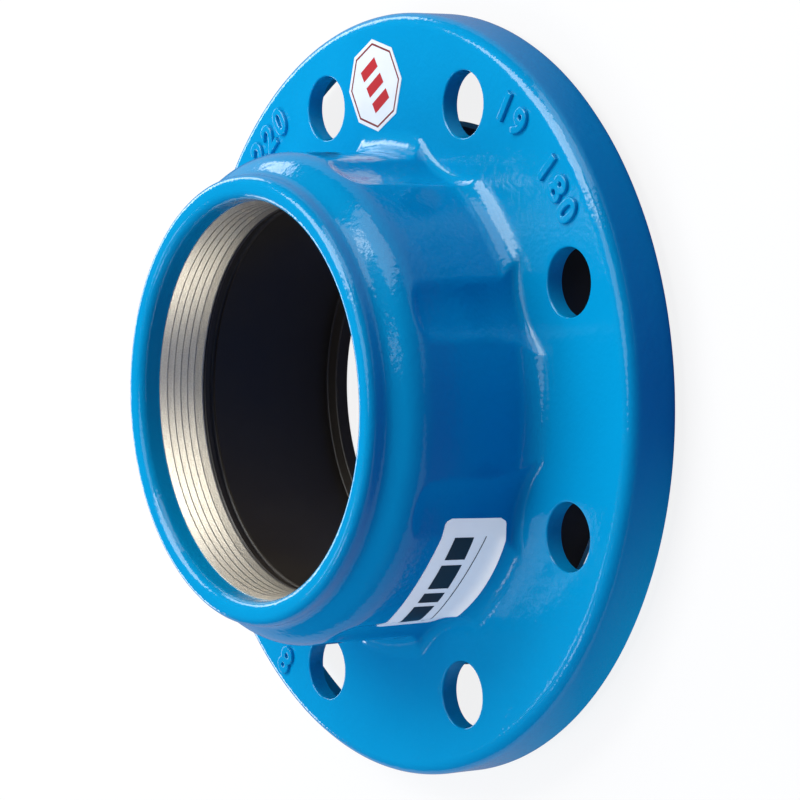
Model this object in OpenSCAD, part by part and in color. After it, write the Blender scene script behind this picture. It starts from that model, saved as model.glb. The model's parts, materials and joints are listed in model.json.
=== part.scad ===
// Flange adaptor for plain-ended pipe.
// A hollow-backed cast flange carries a fluted neck and a round socket mouth.
// Inside sit a split grip ring on a conical seat and a rubber gasket that seals the pipe and the flange.
// The origin is the centre of the sealing face and the pipe goes in from +Z.

/* [Pipe] */
// Outside diameter of the pipe that the socket takes
pipe_d = 110; // [100:1:116]
// Radial room between the pipe and the gasket sleeve
sleeve_clear = 0.6; // [0.4:0.05:1]
// Radial room between the pipe and the ring teeth or the gasket lip
grip_clear = 0.45; // [0.3:0.05:0.9]
// Radial room between the pipe and the mouth
mouth_clear = 1.5; // [1:0.1:2.5]

/* [Flange] */
// Outside diameter of the flange
flange_d = 220; // [212:1:240]
// Depth of the rim from the flange face to its back edge
rim_depth = 16; // [13:0.5:22]
// Thickness of the rim wall
rim_wall = 5; // [4:0.5:7]
// Thickness of the web that the bolts clamp
web_t = 5; // [4:0.5:8]
// Rounding of the front edge of the rim
rim_front_r = 4; // [2:0.5:4]
// Rounding of the back edges of the rim
rim_back_r = 1.5; // [0.5:0.25:1.75]
// Fillet inside the hollow back where the rim meets the web
pocket_r = 3; // [1:0.5:5]

/* [Bolt holes] */
// Diameter of the bolt circle
bolt_circle_d = 180; // [176:1:186]
// Diameter of each bolt hole
bolt_hole_d = 19; // [14:0.5:23]
// Number of bolt holes and flutes
bolt_count = 8; // [4:4:8]
// Rounding of the front edge of each hole
hole_edge_r = 0.5; // [0.25:0.25:2]

/* [Neck] */
// Wall of the neck outside the gasket sleeve
neck_wall = 8; // [7:0.5:10]
// Fillet between the neck and the flange face
foot_r = 7; // [3:0.5:8]
// Radius of a flute across its hollow
flute_r = 32; // [26:0.5:36]
// Depth of a flute at its middle
flute_depth = 1.7; // [1.2:0.1:2.4]
// Rounding of the closed end of a flute
flute_end_r = 8; // [4:0.5:9]
// Fillet at the foot of a flute
flute_foot_r = 3; // [2:0.5:5]
// Distance from the front of the mouth down to the closed end of the flute cutter
flute_end_drop = 10.2; // [9:0.2:16]

/* [Mouth] */
// Height from the sealing face to the front of the mouth
height = 70.5; // [66:0.5:84]
// Large round from the neck to the sloping shoulder
shoulder_r = 11; // [8:0.5:13]
// Slope of the shoulder, measured from the pipe axis
shoulder_slope = 45; // [40:1:50]
// Distance from the front of the mouth down to the start of the shoulder
shoulder_drop = 17; // [16:0.25:20]
// Step from the neck wall in to the side of the lip
lip_step = 6.5; // [5.5:0.25:7]
// Hollow round between the shoulder and the side of the lip
lip_root_r = 4; // [2:0.25:5]
// Round between the side of the lip and the front land
land_r = 2.8; // [1:0.2:3.2]
// Round of the inner edge of the mouth
mouth_edge_r = 3; // [1:0.25:3.5]
// Depth of the plain mouth in front of the grip ring
mouth_depth = 7; // [5:0.5:10]

/* [Grip ring] */
// Length of the ring along the pipe
ring_len = 14.7; // [12.5:0.1:18]
// Wall of the ring at its thin front end, from the tips of the teeth
ring_front_wall = 1.9; // [1.6:0.1:2.4]
// Wall of the ring at its thick back end, from the tips of the teeth
ring_back_wall = 6; // [4:0.1:6.2]
// Room between the ring and its conical seat
seat_clear = 0.25; // [0.1:0.05:0.5]
// Distance from one tooth to the next
tooth_pitch = 2.3; // [1.5:0.1:2.4]
// Number of teeth, counted from the mouth
tooth_count = 5; // [3:1:5]
// Depth of the groove between two teeth
tooth_depth = 0.8; // [0.3:0.1:1.2]
// Width of the slit that lets the ring spring
slit_w = 6; // [2:0.5:12]
// Turn of the slit about the pipe axis
slit_angle = 10; // [0:5:355]

/* [Gasket] */
// Wall of the gasket sleeve
sleeve_wall = 6.2; // [5:0.1:8]
// Room between the sleeve and the neck
sleeve_fit = 0.2; // [0.1:0.05:0.5]
// Outside diameter of the flange seal
seal_d = 156; // [150:1:162]
// Diameter of the opening through the flange seal
seal_bore_d = 102; // [94:1:104]
// Height that the flange seal stands out behind the rim
seal_proud = 3; // [1:0.5:5]
// Thickness of the stop that the end of the pipe meets
stop_t = 4.4; // [3:0.1:8]
// Rounding of the outer edge of the flange seal
seal_edge_r = 0.5; // [0.25:0.25:3]
// Length of the wiper lip next to the ring
lip_len = 2; // [1:0.25:4]
// Radius of the round groove behind the wiper lip
lip_groove_r = 1; // [0.5:0.1:1.5]

/* [Hidden] */
$fn = 96;

pipe_r = pipe_d / 2;
sleeve_r = pipe_r + sleeve_clear;
tooth_tip_r = pipe_r + grip_clear;
mouth_r = pipe_r + mouth_clear;
sleeve_out_r = sleeve_r + sleeve_wall;
socket_r = sleeve_out_r + sleeve_fit;
neck_r = socket_r + neck_wall;

face_z = seal_proud + rim_depth;
web_back_z = face_z - web_t;
rim_r = flange_d / 2;
rim_in_r = rim_r - rim_wall;

ring_front_z = height - mouth_depth;
ring_back_z = ring_front_z - ring_len;

// Centre of the shoulder round, then the slope from that round up to the hollow round at the root of the lip
lip_r = neck_r - lip_step;
shoulder_cr = neck_r - shoulder_r;
shoulder_cz = height - shoulder_drop;
slope_low_r = shoulder_cr + shoulder_r * cos(shoulder_slope);
slope_low_z = shoulder_cz + shoulder_r * sin(shoulder_slope);
slope_top_r = lip_r + lip_root_r * (1 - cos(shoulder_slope));
slope_top_z = slope_low_z + (slope_low_r - slope_top_r) / tan(shoulder_slope);
root_cz = slope_top_z + lip_root_r * sin(shoulder_slope);
land_cz = height - land_r;
// Inner limit of the profiles that the socket is cut from
inner_r = socket_r - neck_wall;

flute_cr = neck_r - flute_depth + flute_r;
flute_top_z = height - flute_end_drop;
// Overlap of cutters and joined profiles
eps = 0.01;

module around() {
    for (i = [0 : bolt_count - 1]) rotate(360 / bolt_count * (i + 0.5)) children();
}

// Square corner of side r less its round, with the corner at the origin and the material towards +X and +Y
module corner_web(r) {
    difference() {
        square(r);
        translate([r, r]) circle(r);
    }
}

// Rectangle from x0 to x1 and z0 to z1
module slab(x0, x1, z0, z1) {
    translate([x0, z0]) square([x1 - x0, z1 - z0]);
}

module rim_profile() {
    difference() {
        slab(socket_r, rim_r, seal_proud, face_z);
        slab(0, rim_in_r, 0, web_back_z);
        translate([rim_r, face_z]) rotate(180) corner_web(rim_front_r);
        translate([rim_r, seal_proud]) rotate(90) corner_web(rim_back_r);
        translate([rim_in_r, seal_proud]) corner_web(rim_back_r);
    }
    translate([rim_in_r, web_back_z]) rotate(180) corner_web(pocket_r);
}

// Shoulder, slope, hollow root and lip, from the neck wall to the front land
module mouth_profile() {
    intersection() {
        translate([shoulder_cr, shoulder_cz]) circle(shoulder_r);
        slab(shoulder_cr, neck_r, shoulder_cz - shoulder_r / 2, slope_low_z);
    }
    difference() {
        polygon([
            [inner_r, ring_back_z],
            [slope_low_r, ring_back_z],
            [slope_low_r, slope_low_z],
            [slope_top_r, slope_top_z],
            [slope_top_r, root_cz],
            [inner_r, root_cz]
        ]);
        translate([lip_r + lip_root_r, root_cz]) circle(lip_root_r);
    }
    slab(inner_r, lip_r, ring_front_z, land_cz);
    intersection() {
        translate([lip_r - land_r, land_cz]) circle(land_r);
        slab(lip_r - land_r, lip_r, ring_front_z, height);
    }
    slab(inner_r, lip_r - land_r, ring_front_z, height);
}

module neck_profile() {
    slab(inner_r, neck_r, web_back_z, shoulder_cz);
    translate([neck_r, face_z]) corner_web(foot_r);
    mouth_profile();
}

module socket_profile() {
    slab(0, socket_r, 0, ring_back_z);
    polygon([
        [0, ring_back_z - eps],
        [tooth_tip_r + ring_back_wall + seat_clear, ring_back_z - eps],
        [tooth_tip_r + ring_back_wall + seat_clear, ring_back_z],
        [tooth_tip_r + ring_front_wall + seat_clear, ring_front_z],
        [0, ring_front_z]
    ]);
    slab(0, mouth_r, ring_front_z - eps, height + eps);
    translate([mouth_r, height]) mirror([0, 1]) corner_web(mouth_edge_r);
}

module flute_cutter() {
    translate([flute_cr, 0, 0])
        rotate_extrude()
            difference() {
                slab(0, flute_r, face_z, flute_top_z);
                translate([flute_r, flute_top_z]) rotate(180) corner_web(flute_end_r);
                translate([flute_r, face_z]) rotate(90) corner_web(flute_foot_r);
            }
}

module bolt_hole() {
    translate([bolt_circle_d / 2, 0, 0]) {
        translate([0, 0, web_back_z - eps]) cylinder(h = web_t + 2 * eps, d = bolt_hole_d);
        translate([0, 0, face_z])
            rotate_extrude()
                translate([bolt_hole_d / 2, 0]) mirror([0, 1]) corner_web(hole_edge_r);
    }
}

module body() {
    color("#0d7fc8")
        difference() {
            rotate_extrude()
                difference() {
                    union() {
                        rim_profile();
                        neck_profile();
                    }
                    socket_profile();
                }
            around() flute_cutter();
            around() bolt_hole();
        }
}

module grip_ring() {
    color("#c9c3b4")
        difference() {
            rotate_extrude()
                difference() {
                    polygon([
                        [tooth_tip_r, ring_back_z],
                        [tooth_tip_r + ring_back_wall, ring_back_z],
                        [tooth_tip_r + ring_front_wall, ring_front_z],
                        [tooth_tip_r, ring_front_z]
                    ]);
                    for (i = [0 : tooth_count - 1])
                        polygon([
                            [tooth_tip_r - eps, ring_front_z - i * tooth_pitch],
                            [tooth_tip_r + tooth_depth, ring_front_z - i * tooth_pitch],
                            [tooth_tip_r - eps, ring_front_z - (i + 1) * tooth_pitch]
                        ]);
                }
            rotate(slit_angle)
                translate([0, -slit_w / 2, ring_back_z - eps])
                    cube([rim_r, slit_w, ring_len + 2 * eps]);
        }
}

module gasket() {
    color("#161616")
        rotate_extrude()
            difference() {
                union() {
                    slab(seal_bore_d / 2, seal_d / 2, 0, web_back_z);
                    slab(sleeve_r, sleeve_out_r, 0, ring_back_z);
                    slab(tooth_tip_r, sleeve_r + eps, ring_back_z - lip_len, ring_back_z);
                }
                slab(0, sleeve_r, stop_t, ring_back_z - lip_len);
                translate([sleeve_r, ring_back_z - lip_len - lip_groove_r]) circle(lip_groove_r);
                translate([seal_d / 2, 0]) rotate(90) corner_web(seal_edge_r);
            }
}

body();
grip_ring();
gasket();
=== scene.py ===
import json
import math
import bmesh
import bpy
import numpy as np
from mathutils import Matrix, Vector


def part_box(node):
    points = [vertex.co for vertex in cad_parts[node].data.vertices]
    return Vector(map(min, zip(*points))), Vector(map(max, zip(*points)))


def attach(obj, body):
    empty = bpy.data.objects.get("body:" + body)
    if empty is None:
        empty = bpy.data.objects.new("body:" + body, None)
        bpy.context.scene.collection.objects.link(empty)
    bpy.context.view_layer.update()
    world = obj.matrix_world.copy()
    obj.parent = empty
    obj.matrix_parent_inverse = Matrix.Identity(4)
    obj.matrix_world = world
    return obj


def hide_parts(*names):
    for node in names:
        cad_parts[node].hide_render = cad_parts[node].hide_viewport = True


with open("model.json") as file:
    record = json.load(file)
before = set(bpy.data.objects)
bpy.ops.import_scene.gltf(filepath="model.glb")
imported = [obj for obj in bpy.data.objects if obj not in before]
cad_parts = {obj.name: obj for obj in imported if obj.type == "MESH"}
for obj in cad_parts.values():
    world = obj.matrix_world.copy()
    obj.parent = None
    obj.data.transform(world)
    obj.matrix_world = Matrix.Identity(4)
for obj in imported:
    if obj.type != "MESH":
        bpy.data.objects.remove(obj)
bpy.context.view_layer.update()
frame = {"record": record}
scene = bpy.context.scene
mm = 0.001
# faces that meet at a larger angle than this share a sharp edge
creaseDeg = 38


def cadBox(node):
    low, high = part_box(node)
    return [round(c / mm, 1) for c in low], [round(c / mm, 1) for c in high]


# places that every piece shares, in millimetres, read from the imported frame
mounts = {m["name"]: m for m in frame["record"]["mounts"]}
boltMount = mounts["flange_bolts"]
bodyLow, bodyHigh = cadBox("body")
ringLow, ringHigh = cadBox("grip_ring")
flangeR = bodyHigh[0]
rimBackZ, mouthZ = bodyLow[2], bodyHigh[2]
ringBackZ, ringFrontZ = ringLow[2], ringHigh[2]
gasketTopZ = cadBox("gasket")[1][2]
webBackZ = boltMount["pos_m"][2] / mm
boltCircleR = boltMount["dims"]["pcd_mm"] / 2
boltCount = boltMount["dims"]["count"]
holeR = boltMount["dims"]["hole_r_mm"]
sleeveR = mounts["pipe_socket"]["dims"]["r_mm"]
sectorDeg = 360 / boltCount


# linear colour of a screen colour written as a hash and six digits
def hexColor(text):
    values = [int(text[i:i + 2], 16) / 255 for i in (1, 3, 5)]
    return [v / 12.92 if v <= 0.04045 else ((v + 0.055) / 1.055) ** 2.4 for v in values] + [1.0]


# one node with its settings, its socket values and its links
# a node that is given as a value links its first output
def addNode(tree, kind, sockets=None, **settings):
    node = tree.nodes.new(kind)
    for name, value in settings.items():
        setattr(node, name, value)
    for key, value in (sockets or {}).items():
        if isinstance(value, bpy.types.Node):
            value = value.outputs[0]
        if isinstance(value, bpy.types.NodeSocket):
            tree.links.new(value, node.inputs[key])
        else:
            node.inputs[key].default_value = value
    return node


def newMaterial(name):
    material = bpy.data.materials.new(name)
    material.use_nodes = True
    tree = material.node_tree
    place = addNode(tree, "ShaderNodeTexCoord").outputs["Object"]
    return material, tree, tree.nodes["Principled BSDF"], place


# scale of a noise whose lumps are that many millimetres wide
def lumps(width):
    return 1 / (width * mm)


# tint between two tones by a pattern, and bumps with heights in millimetres, each laid over the one before
def layFinish(tree, shader, pattern, tones, bumps):
    first, second = [hexColor(tone) for tone in tones]
    tint = addNode(tree, "ShaderNodeMix", {"Factor": pattern, "A": first, "B": second}, data_type="RGBA")
    tree.links.new(tint.outputs["Result"], shader.inputs["Base Color"])
    below = {}
    for height, heightMm in bumps:
        bump = addNode(tree, "ShaderNodeBump", {"Height": height, "Distance": heightMm * mm, **below})
        below = {"Normal": bump}
    tree.links.new(bump.outputs[0], shader.inputs["Normal"])


# epoxy powder coat, melted over a sand casting: a glossy skin with soft orange peel and slow cast waves
def makeBlueEpoxy():
    look = dict(deep="#0296cd", pale="#059ed5", cloud=34.0, cast=9.0, castMm=0.17,
                peel=1.4, peelDetail=1.0, peelMm=0.08, glossy=0.08, dull=0.14, ior=1.5)
    material, tree, shader, place = newMaterial("blueEpoxyCoat")
    cloud = addNode(tree, "ShaderNodeTexNoise", {"Vector": place, "Scale": lumps(look["cloud"])})
    cast = addNode(tree, "ShaderNodeTexNoise", {"Vector": place, "Scale": lumps(look["cast"])})
    peel = addNode(tree, "ShaderNodeTexNoise",
                   {"Vector": place, "Scale": lumps(look["peel"]), "Detail": look["peelDetail"]})
    bumps = [(cast, look["castMm"]), (peel, look["peelMm"])]
    layFinish(tree, shader, cloud, (look["deep"], look["pale"]), bumps)
    gloss = addNode(tree, "ShaderNodeMapRange",
                    {"Value": cast, "To Min": look["glossy"], "To Max": look["dull"]})
    tree.links.new(gloss.outputs[0], shader.inputs["Roughness"])
    shader.inputs["IOR"].default_value = look["ior"]
    return material


# nickel-plated brass, turned and then blasted: warm silver with fine rings and a sandy grain
# both are finer on a real ring, and are drawn as coarse as they need to show
def makeNickel():
    look = dict(plate="#f6efe0", shade="#d8cfbd", turning=0.35, turnMm=0.012, alongTurn=0.02,
                grain=0.5, grainMm=0.09, glossy=0.4, dull=0.58, metallic=1.0)
    material, tree, shader, place = newMaterial("nickelPlatedBrass")
    stretch = (look["alongTurn"], look["alongTurn"], 1.0)
    stretched = addNode(tree, "ShaderNodeMapping", {"Vector": place, "Scale": stretch})
    turning = addNode(tree, "ShaderNodeTexNoise", {"Vector": stretched, "Scale": lumps(look["turning"])})
    grain = addNode(tree, "ShaderNodeTexNoise", {"Vector": place, "Scale": lumps(look["grain"])})
    bumps = [(turning, look["turnMm"]), (grain, look["grainMm"])]
    layFinish(tree, shader, grain, (look["plate"], look["shade"]), bumps)
    gloss = addNode(tree, "ShaderNodeMapRange",
                    {"Value": grain, "To Min": look["glossy"], "To Max": look["dull"]})
    tree.links.new(gloss.outputs[0], shader.inputs["Roughness"])
    shader.inputs["Metallic"].default_value = look["metallic"]
    return material


# moulded EPDM: black, with the soft gloss of a polished mould and a faint bloom
def makeRubber():
    look = dict(black="#322c26", bloom="#3d372f", cloud=18.0, cloudDetail=3.0, skin=1.2, skinMm=0.01,
                glossy=0.26, dull=0.4, ior=1.5)
    material, tree, shader, place = newMaterial("mouldedEpdmRubber")
    cloud = addNode(tree, "ShaderNodeTexNoise",
                    {"Vector": place, "Scale": lumps(look["cloud"]), "Detail": look["cloudDetail"]})
    skin = addNode(tree, "ShaderNodeTexNoise", {"Vector": place, "Scale": lumps(look["skin"])})
    layFinish(tree, shader, cloud, (look["black"], look["bloom"]), [(skin, look["skinMm"])])
    gloss = addNode(tree, "ShaderNodeMapRange",
                    {"Value": cloud, "To Min": look["glossy"], "To Max": look["dull"]})
    tree.links.new(gloss.outputs[0], shader.inputs["Roughness"])
    shader.inputs["IOR"].default_value = look["ior"]
    return material


# coated label film or the ink on it: a smooth, half-gloss sheet that shows the casting's slow waves
def makeFilm(name, first, second, rough):
    look = dict(wave=7.0, waveMm=0.04)
    material, tree, shader, place = newMaterial(name)
    wave = addNode(tree, "ShaderNodeTexNoise", {"Vector": place, "Scale": lumps(look["wave"])})
    layFinish(tree, shader, wave, (first, second), [(wave, look["waveMm"])])
    shader.inputs["Roughness"].default_value = rough
    return material


blueEpoxy = makeBlueEpoxy()
nickel = makeNickel()
rubber = makeRubber()
whiteFilm = makeFilm("whiteVinylFilm", "#f4f6f6", "#e6eaec", 0.35)
silverFilm = makeFilm("silverGreyFilm", "#fafbfb", "#f0f2f4", 0.3)
redInk = makeFilm("redScreenInk", "#c8121a", "#b80d16", 0.4)
darkRedInk = makeFilm("darkRedScreenInk", "#8a1c1e", "#761518", 0.4)
blackInk = makeFilm("blackScreenInk", "#0b0c12", "#15161c", 0.4)
print("materials made")


# a mesh object from points in millimetres
def newPiece(name, points, faces, materials, faceSlots=None, sharpDeg=creaseDeg):
    mesh = bpy.data.meshes.new(name)
    mesh.from_pydata([tuple(p) for p in np.asarray(points, float) * mm], [], [tuple(f) for f in faces])
    for material in materials:
        mesh.materials.append(material)
    for face in mesh.polygons:
        face.use_smooth = True
        if faceSlots is not None:
            face.material_index = faceSlots[face.index]
    mesh.set_sharp_from_angle(angle=math.radians(sharpDeg))
    piece = bpy.data.objects.new(name, mesh)
    scene.collection.objects.link(piece)
    return piece


# profile rows are (radius, height, normal in radius, normal in height)
def arcRows(centreR, centreZ, radius, startDeg, endDeg, count, hollow=False):
    side = -1 if hollow else 1
    rows = []
    for angle in np.radians(np.linspace(startDeg, endDeg, count)):
        cosine, sine = math.cos(angle), math.sin(angle)
        rows.append((centreR + radius * cosine, centreZ + radius * sine, side * cosine, side * sine))
    return rows


def lineRows(startR, startZ, endR, endZ, count):
    wide, tall = endR - startR, endZ - startZ
    length = math.hypot(wide, tall)
    normal = (-tall / length, wide / length)
    return [(startR + wide * t, startZ + tall * t, *normal) for t in np.linspace(0, 1, count)]


bodyShape = dict(
    webT=5.0, rimWall=5.0, rimFrontRound=4.0, rimBackRound=1.5, pocketRound=3.0,
    holeRound=0.5, plateInR=77.0, plateOutR=102.0, sideRows=14, plateRings=8,
    neckR=70.0, footRound=7.0, shoulderRound=11.0, shoulderSlopeDeg=45.0, shoulderDrop=17.0,
    lipStep=6.5, lipRoot=4.0, landRound=2.8,
    mouthR=56.5, mouthRound=3.0, socketR=62.0, seatBackR=61.7, seatFrontR=57.6,
    fluteR=32.0, fluteDepth=1.7, fluteTaper=0.016, fluteEndRound=8.0, fluteFootRound=3.0, fluteEndDrop=10.2,
    # the coat rounds a flute's edge, and less and less of that is left below edgeRise over the flange face
    fluteEdge=0.6, edgeRise=8.0, edgeLeast=0.02,
    # search for the depth of a flute under a point of the plain neck
    sinkLimit=9.0, sinkSteps=34, sinkLeast=1e-6,
    # columns of a sector, and how much closer they stand round the turn where a flute's edge runs
    columns=52, crowd=1.8, crowdDeg=8.0, crowdSpreadDeg=3.2, crowdSamples=901,
    weld=0.01, castWave=0.1, castWidth=16.0, seed=3.0)
faceZ = webBackZ + bodyShape["webT"]
fluteCentreR = bodyShape["neckR"] - bodyShape["fluteDepth"] + bodyShape["fluteR"]
fluteTopZ = mouthZ - bodyShape["fluteEndDrop"]
# centre of the shoulder's round
shoulderR = bodyShape["neckR"] - bodyShape["shoulderRound"]
shoulderZ = mouthZ - bodyShape["shoulderDrop"]


# distance outside the tool shape that hollows one flute, whose sector points along +X
def fluteDistance(points):
    shape = bodyShape
    x, y, z = points[..., 0], points[..., 1], points[..., 2]
    middleZ = (faceZ + fluteTopZ) / 2
    across = np.hypot(x - fluteCentreR, y) + shape["fluteTaper"] * (z - middleZ)
    upper = z > middleZ
    edge = np.where(upper, shape["fluteEndRound"], shape["fluteFootRound"])
    out = across - (shape["fluteR"] - edge)
    up = np.where(upper, z - (fluteTopZ - edge), faceZ + edge - z)
    return np.hypot(np.maximum(out, 0), np.maximum(up, 0)) + np.minimum(np.maximum(out, up), 0) - edge


# how far a point of the plain neck sinks along its normal into the flute, with the edges softened by the coat
def fluteSink(points, normals):
    shape = bodyShape
    low = np.zeros(points.shape[:-1])
    high = np.full(points.shape[:-1], shape["sinkLimit"])
    rise = (points[..., 2] - faceZ) / shape["edgeRise"]
    soft = shape["fluteEdge"] * np.clip(rise, shape["edgeLeast"], 1)
    for step in range(shape["sinkSteps"]):
        middle = (low + high) / 2
        skin = -middle
        hollow = -fluteDistance(points - normals * middle[..., None])
        near = np.maximum(soft - np.abs(skin - hollow), 0) / soft
        outside = np.maximum(skin, hollow) + near ** 2 * soft / 4 > 0
        low = np.where(outside, middle, low)
        high = np.where(outside, high, middle)
    return np.where(high < shape["sinkLeast"], 0, high)


# socket wall, ring seat and mouth, from the back of the web up to the front land
def socketRows():
    shape = bodyShape
    mouthR, mouthRound = shape["mouthR"], shape["mouthRound"]
    rows = lineRows(shape["socketR"], webBackZ, shape["socketR"], ringBackZ, 6)
    rows += lineRows(shape["seatBackR"], ringBackZ, shape["seatFrontR"], ringFrontZ, 5)
    rows += lineRows(mouthR, ringFrontZ, mouthR, mouthZ - mouthRound, 4)
    rows += arcRows(mouthR + mouthRound, mouthZ - mouthRound, mouthRound, 180, 90, 9)[1:]
    return rows


# outer skin of lip, shoulder, neck and foot, from the front land down to the flange face
def neckRows():
    shape = bodyShape
    slope = shape["shoulderSlopeDeg"]
    cosine, sine = math.cos(math.radians(slope)), math.sin(math.radians(slope))
    neckR, lipRoot, landRound = shape["neckR"], shape["lipRoot"], shape["landRound"]
    shoulderRound, footRound = shape["shoulderRound"], shape["footRound"]
    lipR = neckR - shape["lipStep"]
    lowR, lowZ = shoulderR + shoulderRound * cosine, shoulderZ + shoulderRound * sine
    topR = lipR + lipRoot * (1 - cosine)
    topZ = lowZ + (lowR - topR) * cosine / sine
    rootZ = topZ + lipRoot * sine
    footR, footZ = neckR + footRound, faceZ + footRound
    rows = arcRows(lipR - landRound, mouthZ - landRound, landRound, 90, 0, 11)
    rows += lineRows(lipR, mouthZ - landRound, lipR, rootZ, 3)[1:]
    rows += arcRows(lipR + lipRoot, rootZ, lipRoot, 180, 180 + slope, 8, hollow=True)[1:]
    rows += lineRows(topR, topZ, lowR, lowZ, 4)[1:]
    rows += arcRows(shoulderR, shoulderZ, shoulderRound, slope, 0, 16)[1:]
    rows += [(neckR, z, 1.0, 0.0) for z in np.linspace(shoulderZ, footZ, 26)[1:]]
    rows += arcRows(footR, footZ, footRound, 180, 270, 24, hollow=True)[1:]
    return rows


# rim and hollow back, from the flange face round to the back of the web
def rimRows():
    shape = bodyShape
    rimInR = flangeR - shape["rimWall"]
    front, back, pocket = shape["rimFrontRound"], shape["rimBackRound"], shape["pocketRound"]
    rows = lineRows(shape["plateOutR"], faceZ, flangeR - front, faceZ, 4)
    rows += arcRows(flangeR - front, faceZ - front, front, 90, 0, 12)[1:]
    rows += lineRows(flangeR, faceZ - front, flangeR, rimBackZ + back, 7)[1:]
    rows += arcRows(flangeR - back, rimBackZ + back, back, 0, -90, 6)[1:]
    rows += arcRows(rimInR + back, rimBackZ + back, back, -90, -180, 6)
    rows += lineRows(rimInR, rimBackZ + back, rimInR, webBackZ - pocket, 4)[1:]
    rows += arcRows(rimInR - pocket, webBackZ - pocket, pocket, 0, 90, 7, hollow=True)[1:]
    return rows


# turns of a sector's columns, which stand closer where the flute's edges run
def sectorAngles():
    shape = bodyShape
    fine = np.linspace(-sectorDeg / 2, sectorDeg / 2, shape["crowdSamples"])
    fromEdge = (np.abs(fine) - shape["crowdDeg"]) / shape["crowdSpreadDeg"]
    share = np.cumsum(1 + shape["crowd"] * np.exp(-fromEdge ** 2))
    share = (share - share[0]) / (share[-1] - share[0])
    return np.radians(np.interp(np.linspace(0, 1, shape["columns"] + 1), share, fine))


# points and normals of profile rows turned to each of the angles
def sweepRows(rows, angles):
    rows = np.array(rows)

    def turned(radial, upward):
        heights = np.repeat(upward[:, None], len(angles), 1)
        return np.stack([np.outer(radial, np.cos(angles)), np.outer(radial, np.sin(angles)), heights], -1)

    return turned(rows[:, 0], rows[:, 1]), turned(rows[:, 2], rows[:, 3])


# loops of points over the plate round the bolt hole, down through the hole and out over the back of the web
def plateLoops(angles):
    shape = bodyShape

    def polar(radius, angle):
        return np.stack([radius * np.cos(angle), radius * np.sin(angle)], -1)

    def flatLoop(plane, height):
        return np.concatenate([plane, np.full((len(plane), 1), height)], -1)

    side = np.linspace(shape["plateInR"], shape["plateOutR"], shape["sideRows"] + 2)[1:-1]
    border = np.concatenate([
        polar(shape["plateInR"], angles), polar(side, np.full(side.shape, angles[-1])),
        polar(shape["plateOutR"], angles[::-1]), polar(side[::-1], np.full(side.shape, angles[0]))])
    centre = np.array([boltCircleR, 0])
    circle = polar(1, np.arctan2(border[:, 1], border[:, 0] - boltCircleR))
    edgeRound = shape["holeRound"]
    edgeR = holeR + edgeRound
    shares = np.linspace(0, 1, shape["plateRings"])
    loops = []
    for share in shares:
        loops.append(flatLoop(border * (1 - share) + (centre + circle * edgeR) * share, faceZ))
    for turn in np.radians(np.linspace(0, 90, 7)[1:]):
        radius = edgeR - edgeRound * math.sin(turn)
        loops.append(flatLoop(centre + circle * radius, faceZ - edgeRound * (1 - math.cos(turn))))
    for height in np.linspace(faceZ - edgeRound, webBackZ, 4)[1:]:
        loops.append(flatLoop(centre + circle * holeR, height))
    for share in shares[1:]:
        loops.append(flatLoop((centre + circle * holeR) * (1 - share) + border * share, webBackZ))
    return np.array(loops)


# quads of a grid of points; a closed grid joins its last column to its first
def gridFaces(start, count, width, closed):
    faces = []
    for i in range(count - 1):
        near, far = start + i * width, start + (i + 1) * width
        for j in range(width if closed else width - 1):
            k = (j + 1) % width
            faces.append([far + j, far + k, near + k, near + j])
    return faces


# one eighth of the casting, with its bolt hole on +X
def bodySector():
    angles = sectorAngles()
    outer = neckRows()
    skin, normals = sweepRows(outer, angles)
    web = lineRows(bodyShape["plateInR"], webBackZ, bodyShape["socketR"], webBackZ, 5)
    grids = [(sweepRows(socketRows() + outer[:1], angles)[0], False),
             (skin - normals * fluteSink(skin, normals)[..., None], False),
             (sweepRows(rimRows(), angles)[0], False),
             (sweepRows(web, angles)[0], False),
             (plateLoops(angles), True)]
    points, faces = [], []
    for grid, closed in grids:
        faces += gridFaces(len(points), *grid.shape[:2], closed)
        points.extend(grid.reshape(-1, 3))
    return points, faces


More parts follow.
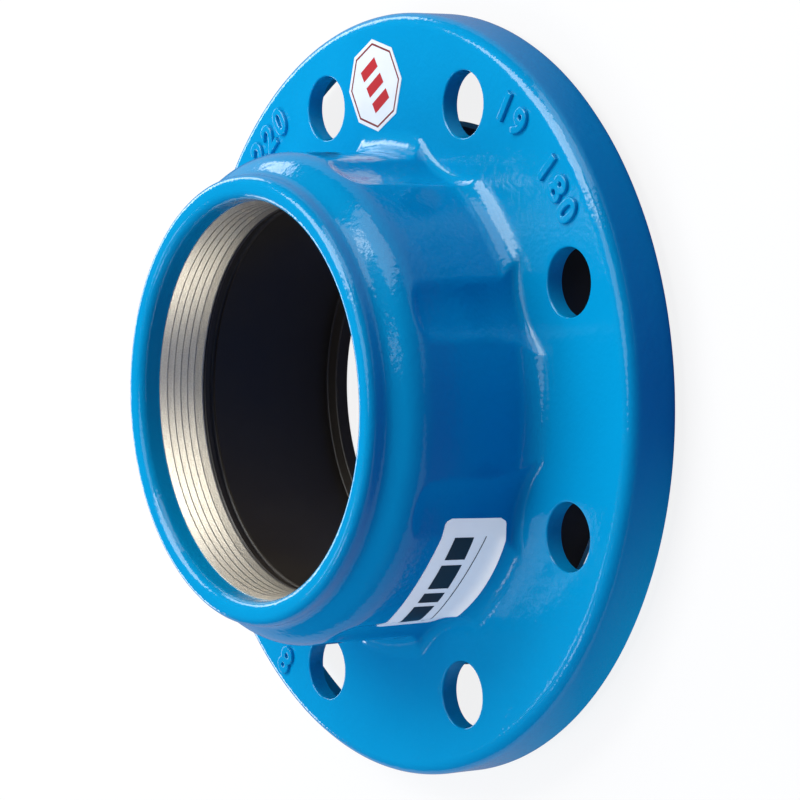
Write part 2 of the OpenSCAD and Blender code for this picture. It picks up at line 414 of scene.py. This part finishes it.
# Geometry Nodes turn the sector about the pipe axis, weld the copies and give the skin its slow cast waves
def makeBodyTree():
    tree = bpy.data.node_groups.new("castBodyFromSector", "GeometryNodeTree")
    kinds = {"Geometry": "Geometry", "Copies": "Int", "First Turn": "Float", "Wave Height": "Float",
             "Wave Width": "Float", "Seed": "Float", "Coat": "Material"}
    sockets = {}
    for name, kind in kinds.items():
        socket = tree.interface.new_socket(name=name, in_out="INPUT", socket_type="NodeSocket" + kind)
        sockets[name] = socket.identifier
    tree.interface.new_socket(name="Geometry", in_out="OUTPUT", socket_type="NodeSocketGeometry")
    given = addNode(tree, "NodeGroupInput").outputs
    single = addNode(tree, "GeometryNodeGeometryToInstance", {"Geometry": given["Geometry"]})
    copies = addNode(tree, "GeometryNodeDuplicateElements", {"Geometry": single, "Amount": given["Copies"]},
                     domain="INSTANCE")
    share = addNode(tree, "ShaderNodeMath", {0: math.tau, 1: given["Copies"]}, operation="DIVIDE")
    turn = addNode(tree, "ShaderNodeMath", {0: copies.outputs[1], 1: share, 2: given["First Turn"]},
                   operation="MULTIPLY_ADD")
    about = addNode(tree, "ShaderNodeCombineXYZ", {"Z": turn})
    turned = addNode(tree, "GeometryNodeRotateInstances", {"Instances": copies, "Rotation": about})
    real = addNode(tree, "GeometryNodeRealizeInstances", {"Geometry": turned})
    weld = addNode(tree, "GeometryNodeMergeByDistance",
                   {"Geometry": real, "Distance": bodyShape["weld"] * mm})
    pitch = addNode(tree, "ShaderNodeMath", {0: 1.0, 1: given["Wave Width"]}, operation="DIVIDE")
    noise = addNode(tree, "ShaderNodeTexNoise", {"Scale": pitch, "W": given["Seed"], "Detail": 1.0},
                    noise_dimensions="4D")
    centred = addNode(tree, "ShaderNodeMath", {0: noise, 1: 0.5}, operation="SUBTRACT")
    height = addNode(tree, "ShaderNodeMath", {0: centred, 1: given["Wave Height"]}, operation="MULTIPLY")
    normal = addNode(tree, "GeometryNodeInputNormal")
    lift = addNode(tree, "ShaderNodeVectorMath", {0: normal, "Scale": height}, operation="SCALE")
    waved = addNode(tree, "GeometryNodeSetPosition", {"Geometry": weld, "Offset": lift})
    painted = addNode(tree, "GeometryNodeSetMaterial", {"Geometry": waved, "Material": given["Coat"]})
    addNode(tree, "NodeGroupOutput", {"Geometry": painted})
    return tree, sockets


# the evaluated result of a piece as its own plain mesh
def plainMesh(piece):
    bpy.context.view_layer.update()
    result = piece.evaluated_get(bpy.context.evaluated_depsgraph_get())
    mesh = bpy.data.meshes.new_from_object(result)
    piece.modifiers.clear()
    piece.data = mesh
    for face in mesh.polygons:
        face.use_smooth = True
    mesh.set_sharp_from_angle(angle=math.radians(creaseDeg))
    return piece


def makeBody():
    points, faces = bodySector()
    piece = newPiece("castBody", points, faces, [blueEpoxy])
    tree, sockets = makeBodyTree()
    modifier = piece.modifiers.new("castBodyFromSector", "NODES")
    modifier.node_group = tree
    settings = {"Copies": boltCount, "First Turn": math.radians(sectorDeg / 2),
                "Wave Height": bodyShape["castWave"] * mm, "Wave Width": bodyShape["castWidth"] * mm,
                "Seed": bodyShape["seed"], "Coat": blueEpoxy}
    for name, value in settings.items():
        modifier[sockets[name]] = value
    return plainMesh(piece)


body = makeBody()
print("body", len(body.data.polygons), "faces")


# a closed profile turned about the pipe axis; an open sweep gets flat ends
def turnProfile(profile, startDeg, sweepDeg, steps):
    profile = np.array(profile)
    whole = sweepDeg >= 360
    angles = np.radians(startDeg + np.linspace(0, sweepDeg, steps + 1))
    if whole:
        angles = angles[:-1]
    width = len(profile)
    points = []
    for angle in angles:
        turned = [profile[:, 0] * math.cos(angle), profile[:, 0] * math.sin(angle), profile[:, 1]]
        points.extend(np.stack(turned, -1))
    faces = []
    for i in range(len(angles) if whole else len(angles) - 1):
        near, far = i * width, (i + 1) % len(angles) * width
        for j in range(width):
            k = (j + 1) % width
            faces.append([near + j, far + j, far + k, near + k])
    if not whole:
        faces.append(list(range(width)))
        faces.append([(len(angles) - 1) * width + j for j in reversed(range(width))])
    return points, faces


ringShape = dict(tipR=55.45, frontWall=1.9, backWall=6.0, teeth=5, pitch=2.3, depth=0.8, tipFlat=0.35,
                 chamfer=0.3, rootEase=0.05, slitW=6.0, slitDeg=10.0, steps=300, sharpDeg=12)


def makeRing():
    shape = ringShape
    tipR, chamfer = shape["tipR"], shape["chamfer"]
    rootR, outR = tipR + shape["depth"], tipR + shape["backWall"]
    # the plain band behind the teeth leans like their flanks
    starts = [ringBackZ + chamfer]
    starts += [ringFrontZ - tooth * shape["pitch"] for tooth in range(shape["teeth"], 0, -1)]
    profile = []
    for low, high in zip(starts, starts[1:] + [ringFrontZ]):
        profile += [(tipR, low), (tipR, low + shape["tipFlat"]), (rootR, high - shape["rootEase"])]
    profile += [(rootR + chamfer, ringFrontZ), (tipR + shape["frontWall"], ringFrontZ)]
    profile += [(outR, ringBackZ + chamfer), (outR - chamfer, ringBackZ), (tipR + chamfer, ringBackZ)]
    halfDeg = math.degrees(shape["slitW"] / 2 / tipR)
    points, faces = turnProfile(profile[::-1], shape["slitDeg"] + halfDeg, 360 - 2 * halfDeg, shape["steps"])
    return newPiece("gripRing", points, faces, [nickel], sharpDeg=shape["sharpDeg"])


gasketShape = dict(boreR=51.0, sealR=78.0, sleeveOutR=61.8, stopT=4.4, lipR=55.45, lipLen=2.0, grooveR=1.0,
                   sealRound=0.5, edge=0.6, steps=240, sharpDeg=30)


def makeGasket():
    shape = gasketShape
    boreR, sealR, lipR, stopT = shape["boreR"], shape["sealR"], shape["lipR"], shape["stopT"]
    sleeveOutR, grooveR = shape["sleeveOutR"], shape["grooveR"]
    sealRound, edge = shape["sealRound"], shape["edge"]
    lipBackZ = gasketTopZ - shape["lipLen"]
    rows = [(boreR, edge), (boreR + edge, 0.0)]
    rows += arcRows(sealR - sealRound, sealRound, sealRound, -90, 0, 6)
    rows += [(sealR, webBackZ), (sleeveOutR, webBackZ), (sleeveOutR, gasketTopZ)]
    rows += [(lipR + edge, gasketTopZ), (lipR, gasketTopZ - edge), (lipR, lipBackZ)]
    rows += arcRows(sleeveR, lipBackZ - grooveR, grooveR, 90, -90, 9)
    rows += [(sleeveR, stopT + edge)]
    rows += arcRows(sleeveR - edge, stopT + edge, edge, 0, -90, 5)
    rows += arcRows(boreR + edge, stopT - edge, edge, 90, 180, 5)
    points, faces = turnProfile([row[:2] for row in rows], 0, 360, shape["steps"])
    return newPiece("mouldedGasket", points, faces, [rubber], sharpDeg=shape["sharpDeg"])


ring = makeRing()
gasket = makeGasket()
print("ring and gasket turned")


# flat film on the flange face: an eight-sided sheet with a printed line and plain bars
flangeLabel = dict(centre=(-8.64, 89.41), corners=8, reach=13.5, turnDeg=7.0,
                   gap=0.01, thick=0.12, edgeIn=0.05, ink=0.03, lineOuter=12.35, lineInner=11.75,
                   bars=3, barStep=5.4, barLength=8.2, barWidth=3.3, rowDeg=-57.0)


def makeFlangeLabel():
    label = flangeLabel
    base = np.array(label["centre"])
    count = label["corners"]
    top = faceZ + label["thick"]
    inked = top + label["ink"]

    def loop(radius, height):
        turns = [math.radians(label["turnDeg"] + 360 / count * i) for i in range(count)]
        return [(base[0] + radius * math.cos(t), base[1] + radius * math.sin(t), height) for t in turns]

    # quads between two loops that start at these points
    def band(first, second):
        pairs = [(i, (i + 1) % count) for i in range(count)]
        return [[first + i, first + j, second + j, second + i] for i, j in pairs]

    points = loop(label["reach"], faceZ + label["gap"]) + loop(label["reach"] - label["edgeIn"], top)
    faces = band(0, count) + [list(range(count, 2 * count))]
    slots = [0] * len(faces)
    points += loop(label["lineOuter"], inked) + loop(label["lineInner"], inked)
    faces += band(2 * count, 3 * count)
    slots += [1] * count
    rowTurn = math.radians(label["rowDeg"])
    row = np.array([math.cos(rowTurn), math.sin(rowTurn)])
    across = np.array([-row[1], row[0]])
    for bar in range(label["bars"]):
        start = len(points)
        middle = base + row * label["barStep"] * (bar - (label["bars"] - 1) / 2)
        for side, end in ((-1, -1), (1, -1), (1, 1), (-1, 1)):
            x, y = middle + row * side * label["barWidth"] / 2 + across * end * label["barLength"] / 2
            points.append((x, y, inked))
        faces.append([start, start + 1, start + 2, start + 3])
        slots.append(2)
    return newPiece("flangeLabel", points, faces, [whiteFilm, darkRedInk, redInk], slots)


flangeSticker = makeFlangeLabel()


# radius of the neck's skin at a turn and a height, flutes included
def neckRadius(turnDeg, z):
    shape = bodyShape
    local = np.radians(turnDeg % sectorDeg - sectorDeg / 2)
    footRound = shape["footRound"]
    footZ = faceZ + footRound
    drop = footZ - np.minimum(z, footZ)
    foot = shape["neckR"] + footRound - np.sqrt(np.maximum(footRound ** 2 - drop ** 2, 0))
    rise = np.maximum(z - shoulderZ, 0)
    shoulder = shoulderR + np.sqrt(np.maximum(shape["shoulderRound"] ** 2 - rise ** 2, 0))
    plain = np.where(z < footZ, foot, shoulder)
    points = np.stack([plain * np.cos(local), plain * np.sin(local), z], -1)
    normals = np.stack([np.cos(local), np.sin(local), np.zeros_like(z)], -1)
    return plain - fluteSink(points, normals)


# film wrapped round the neck, printed with a fine line and plain bars
# spans along the film and rises across it are millimetres from its top right corner
neckLabel = dict(topDeg=-25.6, bottomDeg=-66.5, tiltDeg=0.9, lowZ=23.4, highZ=44.0,
                 bellyTop=2.0, bellyLow=1.0, cornerR=1.9, thick=0.16, ink=0.05, steps=(60, 18),
                 lineSpan=(5.0, 47.0), lineRise=(14.9, 15.2), lineBow=2.0, lineSteps=(44, 2),
                 barSpans=[(5.3, 13.0), (15.0, 24.5), (26.5, 31.0), (33.0, 43.5)], barRise=(4.2, 10.4),
                 barSteps=(10, 6))


def makeNeckLabel():
    label = neckLabel
    neckR = bodyShape["neckR"]
    arcLength = math.radians(label["topDeg"] - label["bottomDeg"]) * neckR
    width = label["highZ"] - label["lowZ"]
    points, faces, slots = [], [], []

    # 1 half way along the film and 0 at its ends
    def towardsMiddle(along):
        return 1 - (2 * along / arcLength - 1) ** 2

    def onNeck(along, up, lift):
        turn = label["topDeg"] - math.degrees(1) * along / neckR - label["tiltDeg"] * up / width
        # the sheet is a little wider half way along
        middle = towardsMiddle(along)
        wide = width + (label["bellyTop"] + label["bellyLow"]) * middle
        z = label["highZ"] + label["bellyTop"] * middle - up * wide / width
        radius = neckRadius(turn, z) + lift
        return np.stack([radius * np.cos(np.radians(turn)), radius * np.sin(np.radians(turn)), z], -1)

    # places along and up the film, with the corners rounded off
    def patchPlaces(span, rise, steps, cornerR, bow):
        along = np.linspace(*span, steps[0])
        near = np.minimum(along - span[0], span[1] - along)
        inset = cornerR - np.sqrt(np.maximum(cornerR ** 2 - np.maximum(cornerR - near, 0) ** 2, 0))
        up = rise[0] + inset[:, None] + (rise[1] - rise[0] - 2 * inset)[:, None] * np.linspace(0, 1, steps[1])
        return np.repeat(along[:, None], steps[1], 1), up - bow * towardsMiddle(along)[:, None]

    def addPatch(span, rise, steps, lift, slot, cornerR=0.0, bow=0.0):
        along, up = patchPlaces(span, rise, steps, cornerR, bow)
        start, cols = len(points), steps[1]
        points.extend(onNeck(along, up, lift).reshape(-1, 3))
        for i in range(steps[0] - 1):
            for j in range(cols - 1):
                corner = start + i * cols + j
                faces.append([corner, corner + cols, corner + cols + 1, corner + 1])
                slots.append(slot)
        return start, along, up

    # the film's edge, from the border of the sheet down to the neck
    def addSkirt(sheetStart, along, up):
        rows, cols = up.shape
        border = [(0, j) for j in range(cols)] + [(i, cols - 1) for i in range(1, rows)]
        border += [(rows - 1, j) for j in range(cols - 2, -1, -1)] + [(i, 0) for i in range(rows - 2, 0, -1)]
        footStart = len(points)
        foot = onNeck(along, up, 0.0)
        points.extend(foot[i, j] for i, j in border)
        edge = [sheetStart + i * cols + j for i, j in border]
        for this in range(len(border)):
            after = (this + 1) % len(border)
            faces.append([edge[this], edge[after], footStart + after, footStart + this])
            slots.append(0)

    sheet = addPatch((0, arcLength), (0, width), label["steps"], label["thick"], 0, cornerR=label["cornerR"])
    addSkirt(*sheet)
    inked = label["thick"] + label["ink"]
    addPatch(label["lineSpan"], label["lineRise"], label["lineSteps"], inked, 1, bow=label["lineBow"])
    for span in label["barSpans"]:
        addPatch(span, label["barRise"], label["barSteps"], inked, 1)
    return newPiece("neckLabel", points, faces, [silverFilm, blackInk], slots)


neckSticker = makeNeckLabel()
print("labels laid")


# raised cast figures, each standing on its own radius
castFigures = dict(height=9.0, raised=1.1, sunk=0.4, weld=0.002,
                   # outline of the font at a size of one, before it is scaled
                   bold=0.01, extrude=0.05, bevel=0.035, bevelSteps=2, curveSteps=6,
                   # figures, radius of their feet, turn of each in degrees
                   groups=[("19", 94.4, (56.2, 51.7)), ("180", 94.4, (41.4, 37.1, 32.9)),
                           ("220", 94.4, (135.2, 130.8, 126.4)), ("8", 96.0, (-123.9,))])


def figureMesh(character):
    cast = castFigures
    curve = bpy.data.curves.new("figure", "FONT")
    curve.body = character
    curve.align_x = "CENTER"
    curve.offset = cast["bold"]
    curve.extrude = cast["extrude"]
    curve.bevel_depth = cast["bevel"]
    curve.bevel_resolution = cast["bevelSteps"]
    curve.resolution_u = cast["curveSteps"]
    holder = bpy.data.objects.new("figure", curve)
    scene.collection.objects.link(holder)
    bpy.context.view_layer.update()
    mesh = bpy.data.meshes.new_from_object(holder.evaluated_get(bpy.context.evaluated_depsgraph_get()))
    bpy.data.objects.remove(holder)
    return mesh


def makeFigure(character, footR, turnDeg):
    cast = castFigures
    mesh = figureMesh(character)
    coords = np.zeros(len(mesh.vertices) * 3)
    mesh.vertices.foreach_get("co", coords)
    coords = coords.reshape(-1, 3)
    low, high = coords.min(0), coords.max(0)
    scale = cast["height"] / (high[1] - low[1])
    x = (coords[:, 0] - (low[0] + high[0]) / 2) * scale
    y = (coords[:, 1] - low[1]) * scale + footR
    deep = cast["raised"] + cast["sunk"]
    z = (coords[:, 2] - low[2]) / (high[2] - low[2]) * deep + faceZ - cast["sunk"]
    turn = math.radians(turnDeg - 90)
    cosine, sine = math.cos(turn), math.sin(turn)
    faces = [list(face.vertices) for face in mesh.polygons]
    return np.stack([x * cosine - y * sine, x * sine + y * cosine, z], -1), faces


def makeFigures():
    points, faces = [], []
    for text, footR, turns in castFigures["groups"]:
        for character, turn in zip(text, turns):
            start = len(points)
            found, loops = makeFigure(character, footR, turn)
            points.extend(found)
            faces.extend([start + v for v in loop] for loop in loops)
    piece = newPiece("castFigures", points, faces, [blueEpoxy])
    mesh = bmesh.new()
    mesh.from_mesh(piece.data)
    bmesh.ops.remove_doubles(mesh, verts=mesh.verts, dist=castFigures["weld"] * mm)
    bmesh.ops.recalc_face_normals(mesh, faces=mesh.faces)
    mesh.to_mesh(piece.data)
    mesh.free()
    piece.data.set_sharp_from_angle(angle=math.radians(creaseDeg))
    return piece


figures = makeFigures()
print("cast figures raised")


# white paper under the part: its size is in metres, and its radii and places are in millimetres
# under, underR, lowY, lowTimes, lowR and lowHalf set where and how strongly the paper glows as painted light
# from below
paperFloor = dict(size=8.0, paper="#f2f2f2", bounce="#3f5a94", glow=0.86, gleam=0.35, gleamY=(90.0, 125.0),
                  shadowR=66.0, shadowHalf=13.4, under=0.2, underR=104.0,
                  lowY=(-5.0, -60.0), lowTimes=5.0, lowR=130.0, lowHalf=25.0)


def makePaper():
    floor = paperFloor
    material = bpy.data.materials.new("whitePaperSweep")
    material.use_nodes = True
    material.cycles.emission_sampling = "NONE"
    tree = material.node_tree
    tree.nodes.clear()
    path = addNode(tree, "ShaderNodeLightPath").outputs
    place = addNode(tree, "ShaderNodeTexCoord").outputs["Object"]
    across = addNode(tree, "ShaderNodeSeparateXYZ", {0: place}).outputs["Y"]
    span = addNode(tree, "ShaderNodeVectorMath", {0: place}, operation="LENGTH").outputs["Value"]
    # the camera sees white paper, and what it throws back on the object is a dim blue
    bounce, white = hexColor(floor["bounce"]), hexColor(floor["paper"])
    tone = addNode(tree, "ShaderNodeMix", {"Factor": path["Is Camera Ray"], "A": bounce, "B": white},
                   data_type="RGBA")
    paper = addNode(tree, "ShaderNodeBsdfDiffuse", {"Color": tone.outputs["Result"]})
    glow = addNode(tree, "ShaderNodeEmission", {"Color": (1, 1, 1, 1), "Strength": 1.0})
    # the paper gleams only beyond the two sides of the flange
    aside = addNode(tree, "ShaderNodeMath", {0: across}, operation="ABSOLUTE")
    startY, fullY = floor["gleamY"]
    sides = addNode(tree, "ShaderNodeMapRange",
                    {"Value": aside, "From Min": startY * mm, "From Max": fullY * mm})
    gleam = addNode(tree, "ShaderNodeMath", {0: sides, 1: floor["gleam"]}, operation="MULTIPLY")
    gleam = addNode(tree, "ShaderNodeMath", {0: gleam, 1: path["Is Glossy Ray"]}, operation="MULTIPLY")
    # under the seal and close round it the paper lies in shadow
    # COMPARE gives 1 in a ring that reaches half its width to each side of a radius, and 0 elsewhere
    shadow = {0: span, 1: floor["shadowR"] * mm, 2: floor["shadowHalf"] * mm}
    shade = addNode(tree, "ShaderNodeMath", shadow, operation="COMPARE")
    bare = addNode(tree, "ShaderNodeMath", {0: 1.0, 1: shade}, operation="SUBTRACT")
    seen = addNode(tree, "ShaderNodeMath", {0: path["Is Camera Ray"], 1: path["Is Transmission Ray"]},
                   operation="MAXIMUM")
    seen = addNode(tree, "ShaderNodeMath", {0: seen, 1: bare}, operation="MULTIPLY")
    share = addNode(tree, "ShaderNodeMath", {0: seen, 1: floor["glow"], 2: gleam}, operation="MULTIPLY_ADD")
    # inside the rim, and more at the low side, the paper itself glows for diffuse rays: painted light that
    # lights the object from below
    inside = addNode(tree, "ShaderNodeMath", {0: span, 1: floor["underR"] * mm}, operation="LESS_THAN")
    startY, fullY = floor["lowY"]
    rise = {"Value": across, "From Min": startY * mm, "From Max": fullY * mm, "To Max": floor["lowTimes"]}
    lowSide = addNode(tree, "ShaderNodeMapRange", rise)
    lowRing = {0: span, 1: floor["lowR"] * mm, 2: floor["lowHalf"] * mm}
    near = addNode(tree, "ShaderNodeMath", lowRing, operation="COMPARE")
    lowSide = addNode(tree, "ShaderNodeMath", {0: lowSide, 1: near}, operation="MULTIPLY")
    under = addNode(tree, "ShaderNodeMath", {0: inside, 1: lowSide}, operation="MAXIMUM")
    under = addNode(tree, "ShaderNodeMath", {0: under, 1: path["Is Diffuse Ray"]}, operation="MULTIPLY")
    share = addNode(tree, "ShaderNodeMath", {0: under, 1: floor["under"], 2: share}, operation="MULTIPLY_ADD")
    mix = addNode(tree, "ShaderNodeMixShader", {0: share, 1: paper, 2: glow})
    addNode(tree, "ShaderNodeOutputMaterial", {"Surface": mix})
    return material


def makeFloor():
    half = paperFloor["size"] / 2
    corners = [(-half, -half, 0), (half, -half, 0), (half, half, 0), (-half, half, 0)]
    mesh = bpy.data.meshes.new("floor")
    mesh.from_pydata(corners, [], [(0, 1, 2, 3)])
    mesh.materials.append(makePaper())
    floor = bpy.data.objects.new("floor", mesh)
    scene.collection.objects.link(floor)


# blue sky that fills the shade
sky = dict(color=(0.14, 0.28, 1.0, 1.0), strength=0.18)


def makeSky():
    world = bpy.data.worlds.new("studio")
    world.use_nodes = True
    background = world.node_tree.nodes["Background"]
    background.inputs["Color"].default_value = sky["color"]
    background.inputs["Strength"].default_value = sky["strength"]
    scene.world = world


# name, turn and height in degrees, distance, width and height in metres, watts, tint, reach
# a soft lamp isn't mirrored, and a card lights the ring and the neck label alone
lamps = [("keySoftbox", 115, 53, 1.4, 1.3, 0.65, 14.2, (1.0, 1.0, 0.92), "all"),
         ("topSoftbox", 56, 69, 1.4, 0.88, 0.75, 3.0, (1.0, 1.0, 0.92), "all"),
         ("sideSoftbox", 75, 22, 1.4, 0.85, 0.95, 4.5, (1.0, 0.99, 0.97), "all"),
         ("backPanel", 170, 8, 1.4, 2.0, 0.34, 8.8, (1.0, 1.0, 1.0), "all"),
         ("lowFill", 235, 60, 1.4, 0.9, 0.9, 8.4, (0.95, 0.99, 1.0), "soft"),
         ("lowSide", 282, 18, 1.4, 0.8, 0.5, 2.6, (0.8, 0.9, 1.0), "soft"),
         ("lowSpot", 250, 54, 1.4, 0.22, 0.22, 0.5, (1.0, 1.0, 1.0), "all"),
         ("edgeStrip", 203, 49, 1.4, 0.12, 0.3, 0.3, (1.0, 1.0, 1.0), "all"),
         ("ringCard", 48, 22, 1.2, 1.3, 0.7, 9.0, (1.0, 0.97, 0.88), "card"),
         ("ringSpot", 292, 15, 1.2, 0.3, 0.45, 4.4, (1.0, 0.97, 0.88), "card")]


def makeLamps():
    lit = bpy.data.collections.new("litByCards")
    lit.objects.link(ring)
    lit.objects.link(neckSticker)
    for name, turnDeg, heightDeg, distance, wide, tall, power, tint, reach in lamps:
        lamp = bpy.data.lights.new(name, "AREA")
        lamp.shape = "RECTANGLE"
        lamp.size = wide
        lamp.size_y = tall
        lamp.energy = power
        lamp.color = tint
        holder = bpy.data.objects.new(name, lamp)
        holder.visible_camera = False
        holder.visible_glossy = reach != "soft"
        if reach == "card":
            holder.light_linking.receiver_collection = lit
        turn, height = math.radians(turnDeg), math.radians(heightDeg)
        aim = Vector((math.cos(turn) * math.cos(height), math.sin(turn) * math.cos(height), math.sin(height)))
        holder.location = aim * distance
        holder.rotation_euler = aim.to_track_quat("Z", "Y").to_euler()
        scene.collection.objects.link(holder)


# camera at the photograph's viewpoint, rolled so that the pipe axis points left
# its place is in metres, and the lens and the sensor are in millimetres
view = dict(place=(0.8264, 0.0606, 0.5923), right=(0.5718, 0.0, -0.8204), back=(0.8188, 0.0616, 0.5707),
            lens=156.8, sensor=36)


def makeCamera():
    data = bpy.data.cameras.new("camera")
    data.lens = view["lens"]
    data.sensor_width = view["sensor"]
    camera = bpy.data.objects.new("camera", data)
    back = Vector(view["back"]).normalized()
    up = back.cross(Vector(view["right"])).normalized()
    right = up.cross(back)
    turn = Matrix((right, up, back)).transposed().to_4x4()
    camera.matrix_world = Matrix.Translation(view["place"]) @ turn
    scene.collection.objects.link(camera)
    scene.camera = camera


makeFloor()
makeSky()
makeLamps()
makeCamera()
scene.view_settings.view_transform = "Standard"
print("studio set")

solids = ((body, "blue_epoxy", "body"), (ring, "nickel_ring", "grip_ring"),
          (gasket, "black_rubber", "gasket"))
for piece, slot, node in solids:
    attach(piece, "root")
    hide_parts(node)
for piece in (flangeSticker, neckSticker, figures):
    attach(piece, "root")
print("pieces on the frame")
